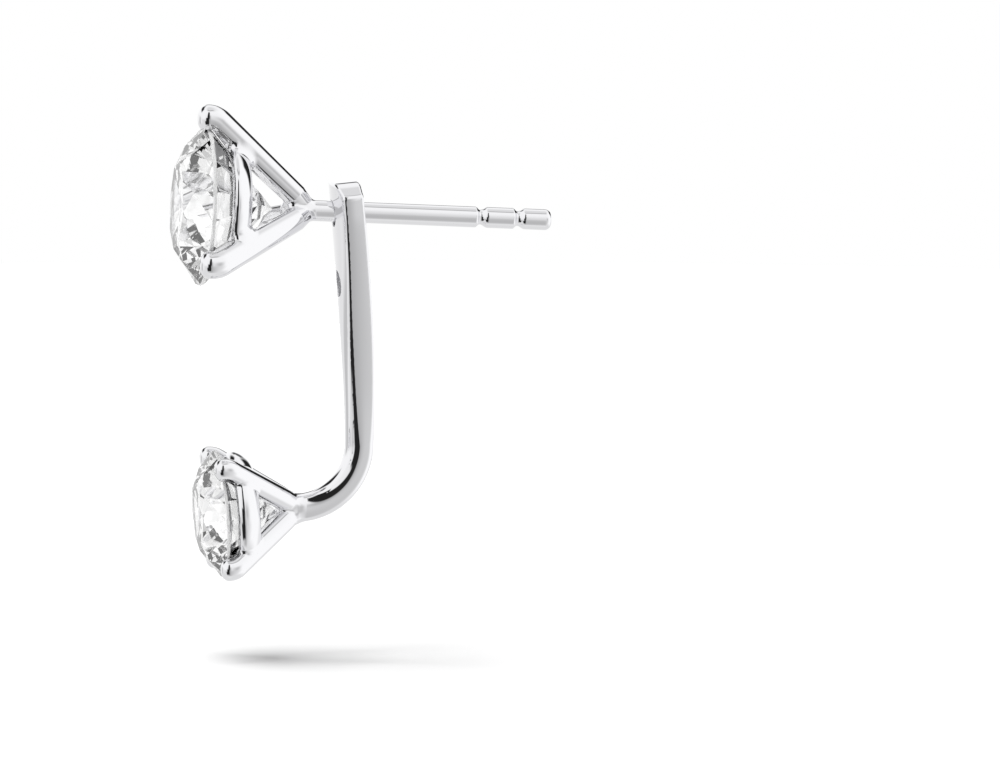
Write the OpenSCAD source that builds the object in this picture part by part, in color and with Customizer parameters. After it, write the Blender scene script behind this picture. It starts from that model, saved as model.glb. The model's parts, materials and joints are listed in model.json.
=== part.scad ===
// Ear jacket earring: a three-prong diamond stud and the jacket that hangs on its post.
// The stud faces -Y and its post runs along +Y. The origin is where the post leaves the
// basket, on the front of the ear lobe.

/* [Stones] */
// Diameter of the stud's brilliant
main_d = 6.5; // [5:0.1:7.5]
// Diameter of the jacket's brilliant
drop_d = 5.2; // [4:0.1:6]
// Width of the table, in percent of the stone
table_pct = 56; // [50:1:62]
// Height of the crown, in percent of the stone
crown_pct = 15.5; // [12:0.5:17]
// Depth of the pavilion, in percent of the stone
pavilion_pct = 43; // [41:0.5:45]
// Thickness of the girdle, in percent of the stone
girdle_pct = 2.5; // [1.5:0.5:4]
// Space left between a stone and its setting
stone_gap = 0.03; // [0.02:0.01:0.06]

/* [Stud basket] */
// Prongs round the stud's stone
stud_prongs = 3; // [3:1:6]
// Turn of the stud about its post, in degrees
stud_turn = -4.5; // [-30:0.5:30]
// Space from the point of the stone to the root of the prongs
stud_root_room = 1.6; // [1.3:0.1:2.4]
// Thickness of a prong at its root
stud_root_w = 0.58; // [0.5:0.02:0.8]
// Thickness of a prong where it leaves the hub
stud_prong_w = 0.98; // [0.8:0.02:1.1]
// Diameter of a prong's bend and of its domed tip
stud_tip_w = 1.16; // [1:0.02:1.26]
// Radius of the rounding at the end of a tip
stud_tip_round = 0.44; // [0.36:0.02:0.48]
// Radius of a prong's bend, at its middle
stud_bend_r = 0.66; // [0.64:0.02:1]
// Distance from the edge of the stone out to the middle of a tip
stud_tip_out = 0.4; // [0.3:0.02:0.5]
// Width of the gallery rail, along its slant
stud_rail_w = 1; // [0.8:0.02:1.1]
// Thickness of the gallery rail
stud_rail_t = 0.5; // [0.4:0.02:0.56]
// Distance from the girdle back to the middle of the rail
stud_rail_back = 1.32; // [1.2:0.02:1.4]
// Distance from the edge of the stone in to the middle of the rail
stud_rail_in = 1.02; // [0.9:0.02:1.1]

/* [Post] */
// Diameter of the post
post_d = 0.86; // [0.7:0.02:1]
// Length of the post
post_l = 9.95; // [8:0.1:12]
// Diameter at the deepest line of a notch
notch_d = 0.6; // [0.5:0.02:0.66]
// Length of a notch along the post
notch_l = 0.52; // [0.4:0.02:0.6]
// Distance from the post's end to the start of the first notch
notch_1_from_end = 3.15; // [2.6:0.05:3.6]
// Distance from the post's end to the start of the second notch
notch_2_from_end = 1.6; // [1.2:0.05:1.9]
// Length of the rounding at the post's end
post_nose = 0.26; // [0.2:0.02:0.4]
// Width of the solder fillet between basket and post
fillet_w = 0.1; // [0.06:0.02:0.2]

/* [Jacket plate] */
// Width of the plate at the post hole
plate_w = 3.3; // [2.6:0.1:3.6]
// Thickness of the plate and of the arm's bend, front to back
plate_t = 1.12; // [0.9:0.02:1.16]
// Height of the plate above the post hole's centre
plate_top = 1.3; // [1.1:0.05:1.5]
// Width of the plate's flat top edge
plate_top_w = 1.9; // [0.6:0.1:2]
// Height of the slanted shoulders beside the top edge
shoulder_h = 0.5; // [0.3:0.02:0.6]
// Length over which the plate narrows into the arm
taper_l = 4.4; // [3:0.1:4.5]
// Diameter of the two post holes
hole_d = 1.1; // [1.08:0.02:1.2]
// Distance between the two post holes
hole_pitch = 2.9; // [2.4:0.1:3.4]
// Distance from the basket's root to the plate, along the post
plate_y = 1.45; // [1.4:0.05:2.5]
// Lean of the hanging jacket from the vertical, in degrees
lean = 8.4; // [0:0.2:8.4]
// Clearance between the post and the hole's upper edge
hang_gap = 0.02; // [0.01:0.01:0.04]

/* [Jacket arm] */
// Width of the arm
arm_w = 1.16; // [0.9:0.02:1.6]
// Thickness of the arm halfway down, where it is thickest
arm_t = 1.26; // [0.9:0.02:1.3]
// Turn of the arm between the plate and the bend, in degrees
arm_curl = 6; // [0:0.5:10]
// Turn of the arm between the plate and the jacket's basket, in degrees
arm_turn = 91.6; // [88:0.4:94]
// Distance from the post hole down to the lowest point of the arm's middle
drop_l = 11.9; // [10.5:0.1:13.5]
// Radius of the bend, at the middle of the arm
bend_r = 2.6; // [1.7:0.05:2.8]
// Distance from the middle of the arm forward to the root of the jacket's basket
arm_reach = 3.05; // [2.8:0.05:4]
// How far the front of plate and arm swells out between its edges
front_swell = 0.27; // [0.1:0.01:0.4]

/* [Jacket basket] */
// Prongs round the jacket's stone
drop_prongs = 4; // [4:1:6]
// Space from the point of the stone to the root of the prongs
drop_root_room = 1; // [0.9:0.1:1.3]
// Thickness of a prong at its root
drop_root_w = 0.8; // [0.6:0.02:0.9]
// Thickness of a prong where it leaves the hub
drop_prong_w = 0.92; // [0.7:0.02:0.96]
// Diameter of a prong's bend and of its domed tip
drop_tip_w = 0.94; // [0.8:0.02:1]
// Radius of the rounding at the end of a tip
drop_tip_round = 0.34; // [0.3:0.02:0.4]
// Radius of a prong's bend, at its middle
drop_bend_r = 0.52; // [0.5:0.02:0.8]
// Distance from the edge of the stone out to the middle of a tip
drop_tip_out = 0.3; // [0.24:0.01:0.36]
// Width of the gallery rail, along its slant
drop_rail_w = 1.16; // [0.64:0.02:1.2]
// Thickness of the gallery rail
drop_rail_t = 0.56; // [0.4:0.02:0.6]
// Distance from the girdle back to the middle of the rail
drop_rail_back = 1.01; // [0.98:0.01:1.2]
// Distance from the edge of the stone in to the middle of the rail
drop_rail_in = 0.5; // [0.48:0.02:0.7]

/* [Hidden] */
$fn = 64;
metal = "gainsboro";
diamond = "azure";

// Cut of the stones: eight mains, with half facets between them
mains = 8;
main_step = 360 / mains;
girdle_cuts = 4;
star_share = 0.5;
lower_half_share = 0.77;

// Setting: length over which a prong swells from its root, depth of post and arm in the hub
swell_l = 0.9;
post_sink = 0.2;

// Outline of a notch: steep on the basket's side, a long ramp on the other. This is how
// far along it the deepest line lies, as a share
notch_floor_at = 0.38;
nose_steps = 4;

// Cross-section of plate and arm, from the middle of the front to the middle of the back:
// share of the half width, share of the swell left, share of the thickness behind the edge
section = [
    [0, 1, 0], [0.35, 0.88, 0], [0.65, 0.58, 0], [0.86, 0.25, 0], [0.96, 0, 0.06],
    [1, 0, 0.2], [1, 0, 0.8], [0.96, 0, 0.93], [0.86, 0, 1], [0.43, 0, 1], [0, 0, 1]
];
bend_steps = 12;
shaft_steps = 14;

// How far above and below its middle the arm's greater thickness reaches
bulge_l = 3.3;

// Height of the girdle above the root of the prongs, and depth under it
function girdle_h(d) = d * girdle_pct / 100;
function pavilion_h(d) = d * pavilion_pct / 100;
function crown_h(d) = d * crown_pct / 100;
function basket_h(d, room) = pavilion_h(d) + girdle_h(d) / 2 + room;
function polar(r, a, z) = [r * cos(a), r * sin(a), z];

// Brilliant cut. Heights are from the middle of the girdle, the table faces +Z
function table_r(d) = d / 2 * table_pct / 100;
function table_z(d) = girdle_h(d) / 2 + crown_h(d);
function culet_z(d) = -girdle_h(d) / 2 - pavilion_h(d);
function crown_slope(d) = crown_h(d) / (d / 2 - table_r(d));
// The star points lie on the planes of both bezel facets beside them
function star_r(d) = table_r(d) * cos(main_step / 2) * (1 - star_share) + d / 2 * star_share;
function star_z(d) = girdle_h(d) / 2 + (d / 2 - star_r(d) * cos(main_step / 2)) * crown_slope(d);
// The lower half facets meet on the planes of both pavilion mains beside them
function half_r(d) = d / 2 * (1 - lower_half_share);
function half_z(d) = culet_z(d) + half_r(d) * cos(main_step / 2) * pavilion_h(d) / (d / 2);

// Height at which a half facet through an inner point and two girdle points a quarter
// turn of the facet apart cuts the girdle's cylinder, at angle a from the first of them
function plane_z(p, q, s, x, y) =
    let (n = cross(q - p, s - p)) p[2] - (n[0] * (x - p[0]) + n[1] * (y - p[1])) / n[2];
function edge_z(d, inner_r, inner_z, edge, a) =
    let (
        half = main_step / 2,
        near = a <= half,
        p = polar(inner_r, half, inner_z),
        q = polar(d / 2, near ? 0 : half, edge),
        s = polar(d / 2, near ? half : main_step, edge)
    )
    plane_z(p, q, s, d / 2 * cos(a), d / 2 * sin(a));

edge_n = mains * 2 * girdle_cuts;
edge_step = 360 / edge_n;
function stone_points(d) = concat(
    [for (i = [0 : mains - 1]) polar(table_r(d), i * main_step, table_z(d))],
    [for (i = [0 : mains - 1]) polar(star_r(d), (i + 0.5) * main_step, star_z(d))],
    [for (k = [0 : edge_n - 1]) polar(d / 2, k * edge_step,
        edge_z(d, star_r(d), star_z(d), girdle_h(d) / 2, (k * edge_step) % main_step))],
    [for (k = [0 : edge_n - 1]) polar(d / 2, k * edge_step,
        edge_z(d, half_r(d), half_z(d), -girdle_h(d) / 2, (k * edge_step) % main_step))],
    [for (i = [0 : mains - 1]) polar(half_r(d), (i + 0.5) * main_step, half_z(d))],
    [[0, 0, culet_z(d)]]
);
at_star = mains;
at_top = 2 * mains;
at_low = at_top + edge_n;
at_half = at_low + edge_n;
at_culet = at_half + mains;
function top(k) = at_top + k % edge_n;
function low(k) = at_low + k % edge_n;
per_main = 2 * girdle_cuts;
stone_faces = concat(
    [[for (i = [mains - 1 : -1 : 0]) i]],
    [for (i = [0 : mains - 1]) [i, (i + 1) % mains, at_star + i]],
    [for (i = [0 : mains - 1]) [i, at_star + i, top(i * per_main), at_star + (i + mains - 1) % mains]],
    [for (i = [0 : mains - 1], h = [0, 1])
        concat([at_star + i], [for (k = [girdle_cuts : -1 : 0]) top(i * per_main + h * girdle_cuts + k)])],
    [for (k = [0 : edge_n - 1]) [top(k), top(k + 1), low(k + 1), low(k)]],
    [for (i = [0 : mains - 1], h = [0, 1])
        concat([at_half + i], [for (k = [0 : girdle_cuts]) low(i * per_main + h * girdle_cuts + k)])],
    [for (i = [0 : mains - 1]) [at_culet, at_half + (i + mains - 1) % mains, low(i * per_main), at_half + i]]
);

module brilliant(d) {
    polyhedron(stone_points(d), stone_faces);
}

// Space that a stone takes in its setting, with the gap round it
module seat(d) {
    g = stone_gap;
    rotate_extrude()
        polygon([
            [0, culet_z(d) - g * 2], [d / 2 + g, -girdle_h(d) / 2 - g], [d / 2 + g, girdle_h(d) / 2 + g],
            [star_r(d) + g, star_z(d) + g], [table_r(d) + g, table_z(d) + g], [0, table_z(d) + g]
        ]);
}

// Flattened ball at the end of a prong: its front half is the tip's dome
module tip(w, round_r) {
    flat_r = w / 2 - round_r;
    rotate_extrude()
        intersection() {
            translate([0, -round_r]) square([w / 2, 2 * round_r]);
            union() {
                translate([flat_r, 0]) circle(r = round_r);
                translate([0, -round_r]) square([flat_r, 2 * round_r]);
            }
        }
}

// One prong: it swells from the hub, runs out straight, bends forward and ends in a dome.
// Its straight part meets the bend's circle, whose middle is bend_x out and h up
function bend_x(d, tip_out, bend_r) = d / 2 + tip_out - bend_r;
function splay(x, h, bend_r) = atan2(x, h) + asin(bend_r / norm([x, h]));
module prong(d, h, root_w, prong_w, tip_w, tip_out, tip_round, bend_r) {
    x = bend_x(d, tip_out, bend_r);
    rod_l = sqrt(x * x + h * h - bend_r * bend_r);
    rotate([0, splay(x, h, bend_r), 0]) {
        sphere(d = root_w);
        cylinder(h = swell_l, d1 = root_w, d2 = prong_w);
        translate([0, 0, swell_l]) cylinder(h = rod_l - swell_l, d1 = prong_w, d2 = tip_w);
    }
    translate([x, 0, h]) {
        rotate([-90, 0, 0])
            rotate_extrude(angle = splay(x, h, bend_r))
                translate([bend_r, 0]) circle(d = tip_w);
        translate([bend_r, 0, 0]) tip(tip_w, tip_round);
    }
}

// Ring between the prongs: a band with round edges that slants as the prongs do
module rail(r, z, w, t, slant) {
    translate([0, 0, z])
        rotate_extrude()
            translate([r, 0])
                rotate(-slant) {
                    square([t, w - t], center = true);
                    for (s = [-1, 1]) translate([0, s * (w - t) / 2]) circle(d = t);
                }
}

// Prongs and rail, root at the origin, stone's side towards +Z
module basket(d, room, n, first, root_w, prong_w, tip_w, tip_out, tip_round, bend_r,
        rail_w, rail_t, rail_back, rail_in) {
    h = basket_h(d, room);
    difference() {
        union() {
            for (i = [0 : n - 1])
                rotate(first + i * 360 / n)
                    prong(d, h, root_w, prong_w, tip_w, tip_out, tip_round, bend_r);
            rail(d / 2 - rail_in, h - rail_back, rail_w, rail_t,
                splay(bend_x(d, tip_out, bend_r), h, bend_r));
        }
        translate([0, 0, h]) seat(d);
    }
}

// From a basket's own frame to the stud's: stone's side towards -Y
module facing_front() {
    rotate([90, 0, 0]) children();
}

// Post from its root to its rounded nose, with two notches for a clutch
function notch_points(from_end) = let (y = post_l - from_end) [
    [post_d / 2, y],
    [notch_d / 2, y + notch_l * notch_floor_at],
    [post_d / 2, y + notch_l]
];
function nose_points() = [
    for (i = [0 : nose_steps])
        let (a = 90 * i / nose_steps)
        [post_d / 2 - post_nose * (1 - cos(a)), post_l - post_nose * (1 - sin(a))]
];
module post() {
    rotate([-90, 0, 0])
        rotate_extrude()
            polygon(concat(
                [[0, -post_sink], [post_d / 2 + fillet_w, -post_sink], [post_d / 2, fillet_w]],
                notch_points(notch_1_from_end),
                notch_points(notch_2_from_end),
                nose_points(),
                [[0, post_l]]
            ));
}

module stud_mounting() {
    color(metal) {
        facing_front()
            basket(main_d, stud_root_room, stud_prongs, 90 + stud_turn, stud_root_w,
                stud_prong_w, stud_tip_w, stud_tip_out, stud_tip_round, stud_bend_r,
                stud_rail_w, stud_rail_t, stud_rail_back, stud_rail_in);
        post();
    }
}

module stud_stone() {
    color(diamond)
        facing_front()
            translate([0, 0, basket_h(main_d, stud_root_room)])
                rotate(stud_turn) brilliant(main_d);
}

// The jacket hangs on the post by the upper edge of its hole and leans a little.
// Its own frame has the hole's centre as origin and the plate upright
hang = hole_d / 2 * cos(lean) - plate_t / 2 * sin(lean) - post_d / 2 - hang_gap;
module hung() {
    translate([0, plate_y, -hang]) rotate([lean, 0, 0]) children();
}

// Width of plate and arm at height z: slanted shoulders, then a soft taper into the arm
function taper_w(z) = arm_w + (plate_w - arm_w) * exp(-pow(z / taper_l, 2));
function shoulder_w(z) =
    plate_top_w + (taper_w(0) - plate_top_w) * (plate_top - z) / shoulder_h;
function width_at(z) = z > plate_top - shoulder_h ? min(shoulder_w(z), plate_w) : taper_w(min(z, 0));

// The arm's middle bows forward more and more, until it has turned by arm_curl. The arm is
// thickest halfway down
bend_top = -(drop_l - bend_r * (1 - sin(arm_curl)));
function depth_at(z) = plate_t + (arm_t - plate_t) * exp(-pow((z - bend_top / 2) / bulge_l, 2));
function bow(z) = tan(arm_curl) * bend_top / 3 * pow(z / bend_top, 3);
function turn(z) = atan(tan(arm_curl) * pow(z / bend_top, 2));

// Stations along the arm's middle: point (y, z), lean of the cross-section, width, depth
plate_stations = [
    for (z = [plate_top, plate_top - shoulder_h, shoulder_h]) [0, z, 0, width_at(z), depth_at(z)]
];
shaft_stations = [
    for (i = [0 : shaft_steps - 1])
        let (z = bend_top * i / shaft_steps) [bow(z), z, -turn(z), width_at(z), depth_at(z)]
];
function bend_y(a) = bow(bend_top) + bend_r * (cos(a) - cos(arm_curl));
function bend_z(a) = bend_top + bend_r * (sin(arm_curl) - sin(a));
bend_stations = [
    for (i = [0 : bend_steps])
        let (a = arm_curl + (arm_turn - arm_curl) * i / bend_steps)
        [bend_y(a), bend_z(a), -a, arm_w, depth_at(bend_top)]
];
function end_z(reach) = bend_z(arm_turn) - (reach + bend_y(arm_turn)) / tan(arm_turn);
end_reach = arm_reach + post_sink;
end_station = [[-end_reach, end_z(end_reach), -arm_turn, arm_w, depth_at(bend_top)]];
stations = concat(plate_stations, shaft_stations, bend_stations, end_station);

// A cross-section, all the way round: the right half from the front, then the left half back
half_n = len(section);
ring_n = 2 * half_n - 2;
function section_point(s, w, t) =
    [s[0] * w / 2, -t / 2 + front_swell * (1 - s[1]) + s[2] * (t - front_swell)];
function ring(st) = [
    for (k = [0 : ring_n - 1])
        let (
            right = k < half_n,
            p = section_point(section[right ? k : ring_n - k], st[3], st[4]),
            x = right ? p[0] : -p[0]
        )
        [x, st[0] + p[1] * cos(st[2]), st[1] + p[1] * sin(st[2])]
];
arm_points = [for (st = stations) each ring(st)];
arm_faces = concat(
    [[for (k = [ring_n - 1 : -1 : 0]) k]],
    [for (j = [0 : len(stations) - 2], k = [0 : ring_n - 1])
        let (a = j * ring_n + k, b = j * ring_n + (k + 1) % ring_n)
        [a, b, b + ring_n, a + ring_n]],
    [[for (k = [0 : ring_n - 1]) (len(stations) - 1) * ring_n + k]]
);

module post_hole() {
    rotate([90, 0, 0]) cylinder(h = plate_t * 2, d = hole_d, center = true);
}

module at_drop() {
    translate([0, -arm_reach, end_z(arm_reach)]) rotate([180 - arm_turn, 0, 0]) children();
}

module jacket_mounting() {
    color(metal)
        hung() {
            difference() {
                polyhedron(arm_points, arm_faces, convexity = 6);
                post_hole();
                translate([0, 0, -hole_pitch]) post_hole();
            }
            at_drop()
                basket(drop_d, drop_root_room, drop_prongs, 180 / drop_prongs, drop_root_w,
                    drop_prong_w, drop_tip_w, drop_tip_out, drop_tip_round, drop_bend_r,
                    drop_rail_w, drop_rail_t, drop_rail_back, drop_rail_in);
        }
}

module drop_stone() {
    color(diamond)
        hung()
            at_drop()
                translate([0, 0, basket_h(drop_d, drop_root_room)]) brilliant(drop_d);
}

stud_mounting();
stud_stone();
jacket_mounting();
drop_stone();
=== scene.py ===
"""Looks of a diamond ear jacket earring: a three-prong stud and the jacket that hangs on its post."""
import json
import math

import bpy
import numpy as np
from mathutils import Matrix, Vector


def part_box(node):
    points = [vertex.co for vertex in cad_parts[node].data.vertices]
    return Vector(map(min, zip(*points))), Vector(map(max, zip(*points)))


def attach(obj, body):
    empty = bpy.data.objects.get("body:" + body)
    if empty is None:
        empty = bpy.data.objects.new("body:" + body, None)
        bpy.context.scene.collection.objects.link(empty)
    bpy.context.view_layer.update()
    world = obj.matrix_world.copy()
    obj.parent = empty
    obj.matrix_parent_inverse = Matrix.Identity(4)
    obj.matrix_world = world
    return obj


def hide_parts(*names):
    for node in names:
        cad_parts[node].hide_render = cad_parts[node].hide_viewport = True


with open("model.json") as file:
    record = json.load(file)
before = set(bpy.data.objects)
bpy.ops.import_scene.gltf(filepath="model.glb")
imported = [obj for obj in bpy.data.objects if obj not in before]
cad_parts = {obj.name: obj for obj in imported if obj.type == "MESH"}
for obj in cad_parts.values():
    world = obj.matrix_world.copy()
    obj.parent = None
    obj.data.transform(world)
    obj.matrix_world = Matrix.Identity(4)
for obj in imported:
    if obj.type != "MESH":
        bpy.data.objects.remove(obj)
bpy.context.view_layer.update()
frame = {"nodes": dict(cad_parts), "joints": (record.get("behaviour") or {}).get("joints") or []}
mm = 0.001


# Camera: a long lens that looks at the earring's side, a little from the front and from
# above. The earring stands a few degrees out of plumb in the picture, so the camera rolls.
image_w, image_h = 1000, 757
view_azimuth, view_elevation, view_roll = 80.3, 6.5, 3.3
px_per_mm = 24.47
origin_px = (311.0, 210.4)
camera_distance = 900 * mm
sensor_w = 36.0
clip_near, clip_far = 10 * mm, 10.0


def turned_axes(azimuth, elevation, roll):
    """Right, up and back of a camera: azimuth 0 looks along +Y, 90 along -X, then it rolls."""
    a, e, t = (math.radians(v) for v in (azimuth, elevation, roll))
    level = Vector((math.cos(a), math.sin(a), 0))
    rise = Vector((-math.sin(a) * math.sin(e), math.cos(a) * math.sin(e), math.cos(e)))
    right = level * math.cos(t) + rise * math.sin(t)
    up = rise * math.cos(t) - level * math.sin(t)
    return right, up, right.cross(up)


right, up, back = turned_axes(view_azimuth, view_elevation, view_roll)
aim = (right * (image_w / 2 - origin_px[0]) - up * (image_h / 2 - origin_px[1])) / px_per_mm * mm
camera_data = bpy.data.cameras.new("camera")
camera_data.sensor_width = sensor_w
camera_data.lens = sensor_w * camera_distance / (image_w / px_per_mm * mm)
camera_data.clip_start, camera_data.clip_end = clip_near, clip_far
camera = bpy.data.objects.new("camera", camera_data)
camera.matrix_world = Matrix.Translation(aim + back * camera_distance) @ Matrix(
    (right, up, back)).transposed().to_4x4()
bpy.context.scene.collection.objects.link(camera)
bpy.context.scene.camera = camera


# Studio: a tent of white paper, which is all that polished metal has to show. Softboxes and
# black flags stand round the earring, so that it gets bright fields and dark lines.
def srgb(code):
    """Linear colour of an sRGB hex code."""
    v = np.array([int(code[i:i + 2], 16) for i in (1, 3, 5)]) / 255
    v = np.where(v <= 0.04045, v / 12.92, ((v + 0.055) / 1.055) ** 2.4)
    return (*v.tolist(), 1.0)


def add_node(tree, kind, settings=None, **inputs):
    """Adds a node; an input is a value or an output socket, by its name or as _ and its number."""
    node = tree.nodes.new(kind)
    for key, value in (settings or {}).items():
        setattr(node, key, value)
    for key, value in inputs.items():
        socket = node.inputs[int(key[1:]) if key[1:].isdigit() else key.replace("_", " ")]
        if isinstance(value, bpy.types.NodeSocket):
            tree.links.new(value, socket)
        else:
            socket.default_value = value
    return node


# Brightness of the bare tent, of what lights the floor, and of what the camera sees behind
tent_light, floor_light, backdrop = 1.12, 0.5, 1.0
# How far the flags fade towards the bare tent, seen through a stone and mirrored twice
stone_fill, second_fill = 0.5, 0.6
panels = {
    # Degrees: where it stands to the right of the camera, half its width, how soft its sides
    # are; how high it stands, half its height, how soft its ends are. Last, its brightness.
    "paper_below": (0, 190, 5, -50, 44, 16, 0.88),
    "dim_roof": (0, 190, 5, 90, 22, 24, 0.86),
    "left_card": (-108, 26, 20, -12, 14, 12, 1.04),
    "left_card_shade": (-118, 12, 14, -12, 12, 10, 0.64),
    "right_softbox": (96, 32, 30, 12, 50, 24, 1.18),
    "right_shade": (42, 12, 24, 8, 14, 24, 0.65),
    "front_shade": (0, 32, 56, -40, 42, 110, 0.46),
    "front_edge": (2, 12, 16, -5, 34, 20, 0.50),
    "paper_in_front": (0, 70, 40, -76, 15, 12, 0.92),
    "low_flag": (-22, 24, 6, -32, 14, 8, 0.02),
    "middle_flag": (-17, 17, 5, -8, 16, 6, 0.02),
    "camera_stand": (-8, 13, 5, 28, 28, 10, 0.02),
    "right_rear_flag": (142, 21, 10, 24, 17, 10, 0.02),
    "left_rear_flag": (-130, 24, 14, 34, 12, 10, 0.02),
    "rear_gap": (180, 16, 8, 27, 7, 6, 0.12),
    "roof_bar": (0, 62, 14, 70, 4, 5, 0.52),
}

world = bpy.data.worlds.new("studio")
bpy.context.scene.world = world
world.use_nodes = True
tree = world.node_tree
tree.nodes.clear()
direction = add_node(tree, "ShaderNodeTexCoord").outputs["Generated"]
toward = add_node(tree, "ShaderNodeSeparateXYZ", Vector=direction).outputs
frontward = add_node(tree, "ShaderNodeMath", {"operation": "MULTIPLY"}, _0=toward["Y"], _1=-1.0)
bearing = add_node(tree, "ShaderNodeMath", {"operation": "ARCTAN2"},
                   _0=toward["X"], _1=frontward.outputs[0])
height = add_node(tree, "ShaderNodeMath", {"operation": "ARCSINE"}, _0=toward["Z"])
light = tent_light
for name, (place, half_w, soft_w, high, half_h, soft_h, bright) in panels.items():
    covers = []
    for angle, middle, half, soft in ((bearing, view_azimuth + place, half_w, soft_w),
                                      (height, high, half_h, soft_h)):
        off = add_node(tree, "ShaderNodeMath", {"operation": "SUBTRACT"},
                       _0=angle.outputs[0], _1=math.radians(middle))
        off = add_node(tree, "ShaderNodeMath", {"operation": "WRAP"},
                       _0=off.outputs[0], _1=math.pi, _2=-math.pi)
        off = add_node(tree, "ShaderNodeMath", {"operation": "ABSOLUTE"}, _0=off.outputs[0])
        covers.append(add_node(
            tree, "ShaderNodeMapRange", {"interpolation_type": "SMOOTHSTEP"}, Value=off.outputs[0],
            From_Min=math.radians(half - soft / 2), From_Max=math.radians(half + soft / 2),
            To_Min=1.0, To_Max=0.0).outputs[0])
    cover = add_node(tree, "ShaderNodeMath", {"operation": "MULTIPLY"}, _0=covers[0], _1=covers[1])
    light = add_node(tree, "ShaderNodeMix", {"label": name},
                     _0=cover.outputs[0], _2=light, _3=bright).outputs[0]
ray = add_node(tree, "ShaderNodeLightPath").outputs
more_than_once = 1.5
deep = add_node(tree, "ShaderNodeMath", {"operation": "GREATER_THAN"},
                _0=ray["Glossy Depth"], _1=more_than_once)
twice = add_node(tree, "ShaderNodeMath", {"operation": "MULTIPLY"},
                 _0=deep.outputs[0], _1=ray["Is Glossy Ray"])
for where, fill in ((ray["Is Transmission Ray"], stone_fill), (twice.outputs[0], second_fill)):
    share = add_node(tree, "ShaderNodeMath", {"operation": "MULTIPLY"}, _0=where, _1=fill)
    light = add_node(tree, "ShaderNodeMix", _0=share.outputs[0], _2=light, _3=tent_light).outputs[0]
light = add_node(tree, "ShaderNodeMix", _0=ray["Is Diffuse Ray"], _2=light, _3=floor_light).outputs[0]
light = add_node(tree, "ShaderNodeMix", _0=ray["Is Camera Ray"], _2=light, _3=backdrop).outputs[0]
tent = add_node(tree, "ShaderNodeBackground", Color=srgb("#ffffff"), Strength=light)
tree.links.new(tent.outputs[0], add_node(tree, "ShaderNodeOutputWorld").inputs[0])
bpy.context.scene.view_settings.view_transform = "Standard"


# Floor: a round sheet of white paper a few millimetres under the earring, square to the
# picture as the earring is not. A softbox over it gives the soft shadow. Neither shows in the
# metal and the stones, which mirror the tent alone.
floor_z = -18.4 * mm
floor_r, floor_sides = 0.15, 64
overhead_h, overhead_d, overhead_watts = 1.0, 0.8, 9.8
overhead_left = 0.3
tilt = math.radians(view_elevation)
floor_up = up * math.cos(tilt) + back * math.sin(tilt)
floor_axes = np.array([right, floor_up.cross(right), floor_up])

floor_mesh = bpy.data.meshes.new("floor")
ring = np.linspace(0, 2 * np.pi, floor_sides, endpoint=False)
ring = np.stack([floor_r * np.cos(ring), floor_r * np.sin(ring), np.full(floor_sides, floor_z)], 1)
floor_mesh.from_pydata((ring @ floor_axes).tolist(), [], [list(range(floor_sides))])
floor = bpy.data.objects.new("floor", floor_mesh)
bpy.context.scene.collection.objects.link(floor)
floor.visible_glossy = False
floor.visible_transmission = False

# Uncoated white paper: pale and matt, without any shine
paper = bpy.data.materials.new("white_paper")
paper.use_nodes = True
shader = paper.node_tree.nodes["Principled BSDF"]
shader.inputs["Base Color"].default_value = srgb("#f4f4f4")
shader.inputs["Roughness"].default_value = 0.9
shader.inputs["Specular IOR Level"].default_value = 0.0
floor_mesh.materials.append(paper)

overhead_data = bpy.data.lights.new("overhead", "AREA")
overhead_data.shape = "DISK"
overhead_data.size = overhead_d
overhead_data.energy = overhead_watts
overhead = bpy.data.objects.new("overhead", overhead_data)
overhead.location = floor_up * (floor_z + overhead_h) - right * overhead_left
overhead.rotation_euler = floor_up.to_track_quat("Z", "Y").to_euler()
overhead.visible_camera = overhead.visible_glossy = overhead.visible_transmission = False
bpy.context.scene.collection.objects.link(overhead)


# Stud mounting: cast in 14 carat white gold, filed round and polished to a mirror. Three
# prongs leave one root, a rail runs between them under the stone, and the post is soldered on.
main_d = 6.5 * mm
table_share, crown_share, pavilion_share, girdle_share = 0.56, 0.155, 0.43, 0.025
facet_step = math.radians(45)
stone_gap = 0.03 * mm
stud_turn = math.radians(-4.5)
# A basket's sizes: room is from the prongs' root to the stone's point, tip_out from the
# girdle to the middle of a prong's tip, and a prong widens from root_w to prong_w over swell_l.
# The rail's middle lies rail_back behind the girdle's and rail_in inside its edge, and crown
# is the radius of its outer face. A ball at cup_z, of radius cup_r, fills in between the roots.
stud = {
    "stone": main_d, "prongs": 3, "first_prong": math.pi / 2 + stud_turn, "room": 1.6 * mm,
    "tip_out": 0.4 * mm, "bend_r": 0.66 * mm, "swell_l": 0.9 * mm, "tip_round": 0.44 * mm,
    "root_w": 0.58 * mm, "prong_w": 0.98 * mm, "tip_w": 1.16 * mm,
    "rail_w": 1.0 * mm, "rail_t": 0.5 * mm, "rail_back": 1.32 * mm, "rail_in": 1.02 * mm,
    "crown": 0.9 * mm, "cup_r": 0.55 * mm, "cup_z": 0.72 * mm,
    "hub_fillet": 0.16 * mm, "cup_fillet": 0.08 * mm, "rail_fillet": 0.4 * mm,
}
post_d, post_l = 0.86 * mm, 9.95 * mm
post_nose, nose_points, nose_edge = 0.26 * mm, 9, 0.02 * mm
notch_starts, notch_d, notch_l = (6.8 * mm, 8.35 * mm), 0.6 * mm, 0.52 * mm
notch_deepest = 0.38
post_sink, post_sunk_r = 0.38 * mm, 0.4 * mm
solder_fillet, rail_edge, seat_edge = 0.14 * mm, 0.13 * mm, 0.03 * mm


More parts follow.
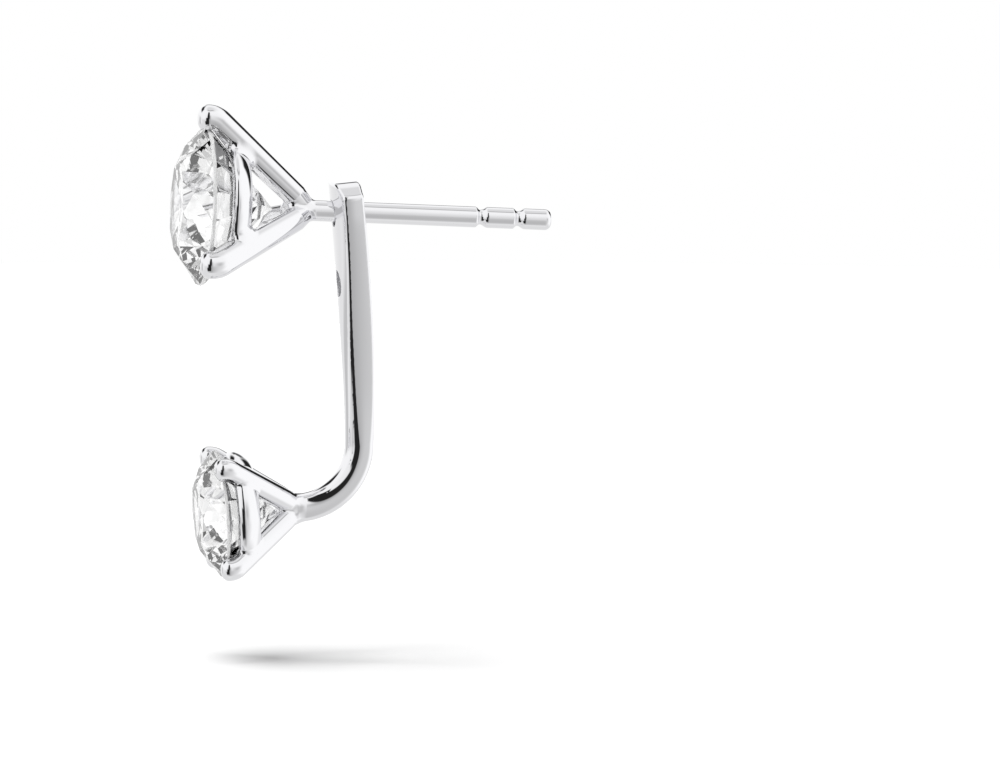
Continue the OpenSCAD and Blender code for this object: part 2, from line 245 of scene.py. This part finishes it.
def join(a, b, r):
    """Distance to two shapes at once; where they meet, a fillet of radius r is rolled in."""
    return np.maximum(r, np.minimum(a, b)) - np.hypot(np.maximum(r - a, 0), np.maximum(r - b, 0))


def keep(a, b, r):
    """Distance to what two shapes share, with its edge rounded to radius r."""
    return np.minimum(-r, np.maximum(a, b)) + np.hypot(np.maximum(r + a, 0), np.maximum(r + b, 0))


def basket_height(b):
    """Height of the girdle's middle above the root of the prongs."""
    return b["stone"] * (pavilion_share + girdle_share / 2) + b["room"]


def prong_slant(b):
    """Angle between prong and axis: its straight part is the tangent from root to bend."""
    x, h = b["stone"] / 2 + b["tip_out"] - b["bend_r"], basket_height(b)
    return math.atan2(x, h) + math.asin(b["bend_r"] / math.hypot(x, h))


def prong(r, side, z, b):
    """Distance to a prong that leans out along r: a rod of growing width, then an arc, both
    measured from their middle line, and a flattened dome where the arc ends."""
    x, h, slant = b["stone"] / 2 + b["tip_out"] - b["bend_r"], basket_height(b), prong_slant(b)
    rod_l = math.sqrt(x * x + h * h - b["bend_r"] ** 2)
    along = np.clip(r * math.sin(slant) + z * math.cos(slant), 0, rod_l)
    width = np.interp(along, [0, b["swell_l"], rod_l], [b["root_w"], b["prong_w"], b["tip_w"]])
    rod = np.sqrt((r - along * math.sin(slant)) ** 2 + side ** 2 + (z - along * math.cos(slant)) ** 2)
    turn = np.clip(np.arctan2(h - z, r - x), 0, slant)
    arc = np.sqrt((r - x - b["bend_r"] * np.cos(turn)) ** 2 + side ** 2
                  + (z - h + b["bend_r"] * np.sin(turn)) ** 2)
    across = np.hypot(r - x - b["bend_r"], side) - (b["tip_w"] / 2 - b["tip_round"])
    dome = np.hypot(np.maximum(across, 0), z - h) - b["tip_round"]
    return np.minimum(rod - width / 2, np.where(z > h, dome, arc - b["tip_w"] / 2))


def rail(r, z, b):
    """Distance to the ring between the prongs: a half-round band, slanted as they are. Its
    outer face is an arc of radius crown, its inner face flat, and its edges are broken."""
    r = r - (b["stone"] / 2 - b["rail_in"])
    z = z - (basket_height(b) - b["rail_back"])
    slant = prong_slant(b)
    long = r * math.sin(slant) + z * math.cos(slant)
    flat = r * math.cos(slant) - z * math.sin(slant)
    outer = np.hypot(long, flat + b["crown"] - b["rail_t"] / 2) - b["crown"]
    band = keep(outer, np.abs(long) - b["rail_w"] / 2, rail_edge)
    return keep(band, -flat - b["rail_t"] / 2, rail_edge)


def seat(r, z, d):
    """Distance to the room that a stone of width d takes: the lines of its outline, turned."""
    half, girdle = d / 2, d * girdle_share / 2
    table = half * table_share
    star = (table * math.cos(facet_step / 2) + half) / 2
    star_z = girdle + (half - star * math.cos(facet_step / 2)) * d * crown_share / (half - table)
    g = stone_gap
    line = np.array([
        (0, -girdle - d * pavilion_share - 2 * g), (half + g, -girdle - g), (half + g, girdle + g),
        (star + g, star_z + g), (table + g, girdle + d * crown_share + g),
        (0, girdle + d * crown_share + g)])
    step = np.diff(line, axis=0)
    step /= np.hypot(*step.T)[:, None]
    sides = [(r - pr) * sz - (z - pz) * sr for (pr, pz), (sr, sz) in zip(line, step)]
    return np.maximum.reduce(sides)


def basket(x, y, z, b):
    """Distance to prongs, rail and the ball where the prongs meet, less the stone's seat. The
    root is at the origin, the stone towards +Z."""
    r = np.hypot(x, y)
    shape = None
    for k in range(b["prongs"]):
        a = b["first_prong"] + k * 2 * math.pi / b["prongs"]
        one = prong(x * math.cos(a) + y * math.sin(a), y * math.cos(a) - x * math.sin(a), z, b)
        shape = one if shape is None else join(shape, one, b["hub_fillet"])
    shape = join(shape, np.hypot(r, z - b["cup_z"]) - b["cup_r"], b["cup_fillet"])
    shape = join(shape, rail(r, z, b), b["rail_fillet"])
    return keep(shape, -seat(r, z - basket_height(b), b["stone"]), seat_edge)


def stud_field(p):
    """Distance to the stud's metal: the basket faces -Y, the post runs out along +Y to a nose
    rounded as a quarter circle, and its other end is sunk in the basket as a dome. Each notch
    dips with the square of a sine, deepest at notch_deepest of its length."""
    x, y, z = p[..., 0], p[..., 1], p[..., 2]
    nose = math.pi / 2 * np.linspace(0, 1, nose_points)
    along = post_l - post_nose * (1 - np.sin(nose))
    width = np.interp(y, along, post_d - 2 * post_nose * (1 - np.cos(nose)))
    for start in notch_starts:
        share = np.interp(y, start + notch_l * np.array([0, notch_deepest, 1]), [0, 0.5, 1])
        width = width - (post_d - notch_d) * np.sin(np.pi * share) ** 2
    post = np.hypot(x, z) - width / 2
    post = keep(keep(post, -y - post_sink, post_sunk_r), y - post_l, nose_edge)
    return join(basket(x, z, -y, stud), post, solder_fillet)


cast_step, cast_margin = 0.05 * mm, Vector((0.12 * mm,) * 3)
cast_block, cast_pulls, cast_probe = 8, 4, 0.004 * mm


def cast_surface(name, field, lo, hi, step=cast_step, block=cast_block):
    """Mesh of the surface where a field is 0. Space is cut into cubes of side step; each cube
    that the surface crosses gets one point, and each cube edge that it crosses gets a four-sided
    face between the points round it. The points are then moved along the field's slope until
    it is 0, and the slope is their normal. Blocks of cubes far from the surface are left out."""
    lo, count = np.array(lo), np.ceil((np.array(hi) - np.array(lo)) / step / block).astype(int)
    blocks = np.stack(np.meshgrid(*[np.arange(n) for n in count], indexing="ij"), -1).reshape(-1, 3)
    middles = lo + (blocks + 0.5) * block * step
    blocks = blocks[np.abs(field(middles)) < 2 * block * step]
    corner = np.stack(np.meshgrid(*[np.arange(block + 1)] * 3, indexing="ij"), -1)
    grid = (blocks[:, None, None, None] * block + corner).astype(np.int32)
    value = field(lo + grid * step)
    cube = [(i, j, k) for i in (0, 1) for j in (0, 1) for k in (0, 1)]
    part = {c: value[:, c[0]:block + c[0], c[1]:block + c[1], c[2]:block + c[2]].reshape(-1) for c in cube}
    base = grid[:, :block, :block, :block].reshape(-1, 3)
    inside = sum((part[c] < 0).astype(int) for c in cube)
    live = (inside > 0) & (inside < len(cube))
    part, base = {c: part[c][live] for c in cube}, base[live]
    total, hits = np.zeros(base.shape), np.zeros(len(base))
    for c in cube:
        for axis in range(3):
            if c[axis]:
                continue
            d = tuple(v + (i == axis) for i, v in enumerate(c))
            cross = (part[c] < 0) != (part[d] < 0)
            share = np.where(cross, part[c] / np.where(cross, part[c] - part[d], 1), 0)
            spot = np.tile(np.array(c, float), (len(base), 1))
            spot[:, axis] += share
            total += spot * cross[:, None]
            hits += cross
    points = lo + (base + total / hits[:, None]) * step
    size = count * block + 1
    key = (base[:, 0] * size[1] + base[:, 1]) * size[2] + base[:, 2]
    order = np.argsort(key)
    key_sorted = key[order]
    jump = np.array([size[1] * size[2], size[2], 1])
    faces = []
    for axis in range(3):
        d = tuple(int(i == axis) for i in range(3))
        out = part[0, 0, 0] < 0
        cross = out != (part[d] < 0)
        j, k = jump[(axis + 1) % 3], jump[(axis + 2) % 3]
        round_edge = np.stack([key, key - j, key - j - k, key - k], 1)[cross]
        found = order[np.searchsorted(key_sorted, round_edge)]
        faces.append(np.where(out[cross][:, None], found, found[:, ::-1]))
    faces = np.concatenate(faces)
    for _ in range(cast_pulls):
        slope = np.stack([(field(points + e) - field(points - e)) / (2 * cast_probe)
                          for e in np.eye(3) * cast_probe], -1)
        steep = np.sum(slope ** 2, -1)
        move = np.clip(field(points) / steep, -step, step)
        points = points - move[:, None] * slope
    normals = slope / np.sqrt(steep)[:, None]
    mesh = bpy.data.meshes.new(name)
    mesh.from_pydata(points.tolist(), [], faces.tolist())
    mesh.validate()
    mesh.polygons.foreach_set("use_smooth", np.ones(len(mesh.polygons), bool))
    mesh.normals_split_custom_set_from_vertices(normals.tolist())
    made = bpy.data.objects.new(name, mesh)
    bpy.context.scene.collection.objects.link(made)
    return made


wheel_mark, wheel_finest, wheel_coarsest = 0.12 * mm, 0.015, 0.06
wave_l, wave_h = 1.5 * mm, 0.006 * mm


def make_gold(name):
    """White gold under rhodium, polished on a felt wheel: a cool white mirror. Hand work leaves
    it faintly wavy, about wave_l from crest to crest. The wheel's marks, drawn wheel_mark wide
    so that they show, soften its reflections a little here and there."""
    gold = bpy.data.materials.new(name)
    gold.use_nodes = True
    tree = gold.node_tree
    shader = tree.nodes["Principled BSDF"]
    shader.inputs["Base Color"].default_value = srgb("#e8e8ea")
    shader.inputs["Metallic"].default_value = 1.0
    place = add_node(tree, "ShaderNodeTexCoord").outputs["Object"]
    marks = add_node(tree, "ShaderNodeTexNoise", Vector=place, Scale=1 / wheel_mark, Detail=2.0)
    rough = add_node(tree, "ShaderNodeMapRange", Value=marks.outputs[0], From_Min=0.35, From_Max=0.75,
                     To_Min=wheel_finest, To_Max=wheel_coarsest)
    tree.links.new(rough.outputs[0], shader.inputs["Roughness"])
    waves = add_node(tree, "ShaderNodeTexNoise", Vector=place, Scale=1 / wave_l, Detail=0.0)
    bump = add_node(tree, "ShaderNodeBump", Height=waves.outputs[0], Distance=wave_h, Strength=1.0)
    tree.links.new(bump.outputs[0], shader.inputs["Normal"])
    return gold


gold = make_gold("rhodium_polished_white_gold")
stud_lo, stud_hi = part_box("stud_mounting")
stud_metal = cast_surface("stud_metal", stud_field, stud_lo - cast_margin, stud_hi + cast_margin)
stud_metal.data.materials.append(gold)
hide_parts("stud_mounting")
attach(stud_metal, "stud")


# Jacket mounting: one casting too. A plate with two post holes narrows into an arm whose front
# swells softly, and the arm bends forward under the ear lobe into a basket of four prongs.
plate_y = next(joint["pos_m"][1] for joint in frame["joints"] if joint["name"] == "jacket_swing")
# The plate's lower end hangs back by lean, and hang_gap lies between the post and the hole's
# upper side. The arm slants forward by arm_curl where its bend begins and has turned by
# arm_turn where it ends.
lean, arm_curl, arm_turn = (math.radians(v) for v in (8.4, 6, 91.6))
hang_gap = 0.02 * mm
plate_w, plate_t, plate_top, plate_top_w = 3.3 * mm, 1.12 * mm, 1.3 * mm, 1.9 * mm
shoulder_h, shoulder_r, top_r = 0.5 * mm, 0.2 * mm, 0.14 * mm
hole_d, hole_pitch, hole_edge_r = 1.1 * mm, 2.9 * mm, 0.04 * mm
arm_w, arm_t, taper_l, bulge_l = 1.16 * mm, 1.26 * mm, 4.4 * mm, 3.3 * mm
drop_l, bend_r, arm_reach = 11.9 * mm, 2.6 * mm, 3.05 * mm
arm_sink, arm_fillet = 0.2 * mm, 0.22 * mm
front_swell, plate_side_swell, bend_side_swell = 0.27 * mm, 0.0279 * mm, 0.045 * mm
plate_edge_r, bend_edge_r = 0.12 * mm, 0.24 * mm
jacket = {
    "stone": 5.2 * mm, "prongs": 4, "first_prong": math.pi / 4, "room": 1.0 * mm,
    "tip_out": 0.3 * mm, "bend_r": 0.52 * mm, "swell_l": 0.9 * mm, "tip_round": 0.34 * mm,
    "root_w": 0.8 * mm, "prong_w": 0.92 * mm, "tip_w": 0.94 * mm,
    "rail_w": 1.16 * mm, "rail_t": 0.56 * mm, "rail_back": 1.01 * mm, "rail_in": 0.5 * mm,
    "crown": 0.85 * mm, "cup_r": 0.45 * mm, "cup_z": 0.5 * mm,
    "hub_fillet": 0.14 * mm, "cup_fillet": 0.07 * mm, "rail_fillet": 0.14 * mm,
}

# How far the upper hole's middle hangs below the post's. Then, in the plate's own frame: the
# height where the bend begins, how far the arm has bowed there, and its straight end's length.
hang = hole_d / 2 * math.cos(lean) - plate_t / 2 * math.sin(lean) - post_d / 2 - hang_gap
bend_top = -(drop_l - bend_r * (1 - math.sin(arm_curl)))
bow = math.tan(arm_curl) * bend_top / 3
straight = (arm_reach + bow + bend_r * (math.cos(arm_turn) - math.cos(arm_curl))) / math.sin(arm_turn)


def arm_section(x, n, half_w, t, front_bow, side_bow, round_r):
    """Distance to a bar with a flat back. Its front is a parabola that falls away by front_bow
    to either side, its sides are crowned by side_bow alike, and its edges have radius round_r."""
    u = np.clip(x / half_w, -1, 1)
    front = -n - t / 2 + front_bow * u ** 2
    front = front / np.sqrt(1 + (2 * front_bow * u / half_w) ** 2)
    side_l = (t - front_bow) / 2
    v = np.clip((n - front_bow / 2) / side_l, -1, 1)
    side = np.abs(x) - half_w + side_bow * v ** 2
    side = side / np.sqrt(1 + (2 * side_bow * v / side_l) ** 2)
    return keep(keep(side, n - t / 2, round_r), front, round_r)


def jacket_field(p):
    """Distance to the jacket's metal. In its own frame the upper hole is the origin and the
    plate is upright. The arm's middle runs down and bows forward with the third power of its
    length, then turns on a circle until it runs straight forward. Its width falls from the
    plate's and its thickness swells by bell curves, and over its lower half its sides and
    edges grow rounder with the fourth power of the length."""
    x = p[..., 0]
    y0, z0 = p[..., 1] - plate_y, p[..., 2] + hang
    y = y0 * math.cos(lean) + z0 * math.sin(lean)
    z = z0 * math.cos(lean) - y0 * math.sin(lean)
    share = np.clip(z / bend_top, 0, 1)
    middle = math.tan(arm_curl) * (bend_top / 3 * share ** 3 + np.minimum(z - bend_top, 0))
    shaft = (y - middle) / np.hypot(1, math.tan(arm_curl) * share ** 2)
    out = y - bow + bend_r * math.cos(arm_curl)
    up = z - bend_top - bend_r * math.sin(arm_curl)
    level = out * math.cos(arm_turn) - up * math.sin(arm_turn) - bend_r
    ahead = -out * math.sin(arm_turn) - up * math.cos(arm_turn)
    n = np.where(ahead > 0, level, np.hypot(out, up) - bend_r)
    n = np.where(up > -out * math.tan(arm_curl), shaft, n)
    taper = np.exp(-(np.minimum(z, 0) / taper_l) ** 2)
    half_w = (arm_w + (plate_w - arm_w) * taper) / 2
    t = plate_t + (arm_t - plate_t) * np.exp(-((np.maximum(z, bend_top) - bend_top / 2) / bulge_l) ** 2)
    softer = np.clip((bend_top / 2 - z) / -bend_top * 2, 0, 1) ** 4
    arm = arm_section(x, n, half_w, t, front_swell,
                      plate_side_swell + (bend_side_swell - plate_side_swell) * softer,
                      plate_edge_r + (bend_edge_r - plate_edge_r) * softer)
    shoulder_out = (plate_w - plate_top_w) / 2
    slope = math.hypot(shoulder_out, shoulder_h)
    shoulder = ((np.abs(x) - plate_top_w / 2) * shoulder_h + (z - plate_top) * shoulder_out) / slope
    top = keep(shoulder, z - plate_top, shoulder_r)
    arm = keep(keep(arm, top, top_r), ahead - straight - arm_sink, plate_edge_r)
    hole = np.minimum(np.hypot(x, z), np.hypot(x, z + hole_pitch)) - hole_d / 2
    arm = keep(arm, -hole, hole_edge_r)
    return join(arm, basket(x, -level, ahead - straight, jacket), arm_fillet)


# The holes are drilled after polishing, so their walls keep the satin that the drill leaves.
# hung takes the plate's own frame to the part's, and its inverse brings the pattern back.
drill_satin = 0.35
hung = Matrix.Translation((0, plate_y, -hang)) @ Matrix.Rotation(lean, 4, "X")
upright = hung.inverted()
drilled_gold = make_gold("white_gold_with_drilled_holes")
tree = drilled_gold.node_tree
polish = tree.nodes["Principled BSDF"].inputs["Roughness"].links[0].from_socket
place = add_node(tree, "ShaderNodeTexCoord").outputs["Object"]
own = add_node(tree, "ShaderNodeMapping", Vector=place, Location=upright.translation,
               Rotation=upright.to_euler())
for hole_z in (0, -hole_pitch):
    flat = add_node(tree, "ShaderNodeVectorMath", {"operation": "MULTIPLY_ADD"}, _0=own.outputs[0],
                    _1=(1, 0, 1), _2=(0, 0, -hole_z))
    far = add_node(tree, "ShaderNodeVectorMath", {"operation": "LENGTH"}, _0=flat.outputs[0])
    wall = add_node(tree, "ShaderNodeMath", {"operation": "LESS_THAN"}, _0=far.outputs["Value"],
                    _1=hole_d / 2 + hole_edge_r / 2)
    polish = add_node(tree, "ShaderNodeMix", _0=wall.outputs[0], _2=polish, _3=drill_satin).outputs[0]
tree.links.new(polish, tree.nodes["Principled BSDF"].inputs["Roughness"])

jacket_lo, jacket_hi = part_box("jacket_mounting")
jacket_metal = cast_surface("jacket_metal", jacket_field, jacket_lo - cast_margin,
                            jacket_hi + cast_margin)
jacket_metal.data.materials.append(drilled_gold)
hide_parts("jacket_mounting")
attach(jacket_metal, "jacket")


# Stones: round brilliants cut from clear diamond, with flat facets polished to a sharp edge.
# The girdle, the narrow band round the widest part, is bruted: ground with another diamond.
# The prongs grip them, and here stone_gap is left all round.
diamond_ior = 2.417
girdle_grain, girdle_finest, girdle_coarsest = 0.05 * mm, 0.4, 0.55
girdle_clear = 0.4


def make_diamond(name, seat_frame, d):
    """Diamond bends light more than any glass, so its facets flash white, grey and black. Its
    girdle is frosted like ground glass and lets only girdle_clear of the light straight in. A
    girdle lies within half its height of the middle, along the stone's axis; seat_frame takes
    the part's coordinates to the stone's own."""
    diamond = bpy.data.materials.new(name)
    diamond.use_nodes = True
    tree = diamond.node_tree
    shader = tree.nodes["Principled BSDF"]
    shader.inputs["Base Color"].default_value = srgb("#ffffff")
    shader.inputs["IOR"].default_value = diamond_ior
    place = add_node(tree, "ShaderNodeTexCoord").outputs["Object"]
    own = add_node(tree, "ShaderNodeMapping", Vector=place, Location=seat_frame.translation,
                   Rotation=seat_frame.to_euler())
    along = add_node(tree, "ShaderNodeSeparateXYZ", Vector=own.outputs[0]).outputs["Z"]
    off = add_node(tree, "ShaderNodeMath", {"operation": "ABSOLUTE"}, _0=along)
    grain = add_node(tree, "ShaderNodeTexNoise", Vector=place, Scale=1 / girdle_grain, Detail=1.0)
    frost = add_node(tree, "ShaderNodeMapRange", Value=grain.outputs[0], From_Min=0.3, From_Max=0.7,
                     To_Min=girdle_finest, To_Max=girdle_coarsest)
    band = add_node(tree, "ShaderNodeMath", {"operation": "LESS_THAN"}, _0=off.outputs[0],
                    _1=d * girdle_share / 2)
    rough = add_node(tree, "ShaderNodeMath", {"operation": "MULTIPLY"}, _0=band.outputs[0],
                     _1=frost.outputs[0])
    tree.links.new(rough.outputs[0], shader.inputs["Roughness"])
    clear = add_node(tree, "ShaderNodeMix", _0=band.outputs[0], _2=1.0, _3=girdle_clear)
    tree.links.new(clear.outputs[0], shader.inputs["Transmission Weight"])
    return diamond


# Each basket's frame has its root at the origin and the stone towards +Z
stud_head = Matrix.Rotation(math.pi / 2, 4, "X")
arm_end_z = -drop_l + bend_r * (1 - math.sin(arm_turn)) - straight * math.cos(arm_turn)
jacket_head = hung @ Matrix.Translation((0, -arm_reach, arm_end_z)) @ Matrix.Rotation(
    math.pi - arm_turn, 4, "X")
for node, setting, head in (("stud_stone", stud, stud_head), ("drop_stone", jacket, jacket_head)):
    girdle_at = head @ Matrix.Translation((0, 0, basket_height(setting)))
    cut_diamond = make_diamond(node.replace("stone", "diamond"), girdle_at.inverted(), setting["stone"])
    for slot in frame["nodes"][node].material_slots:
        slot.material = cut_diamond
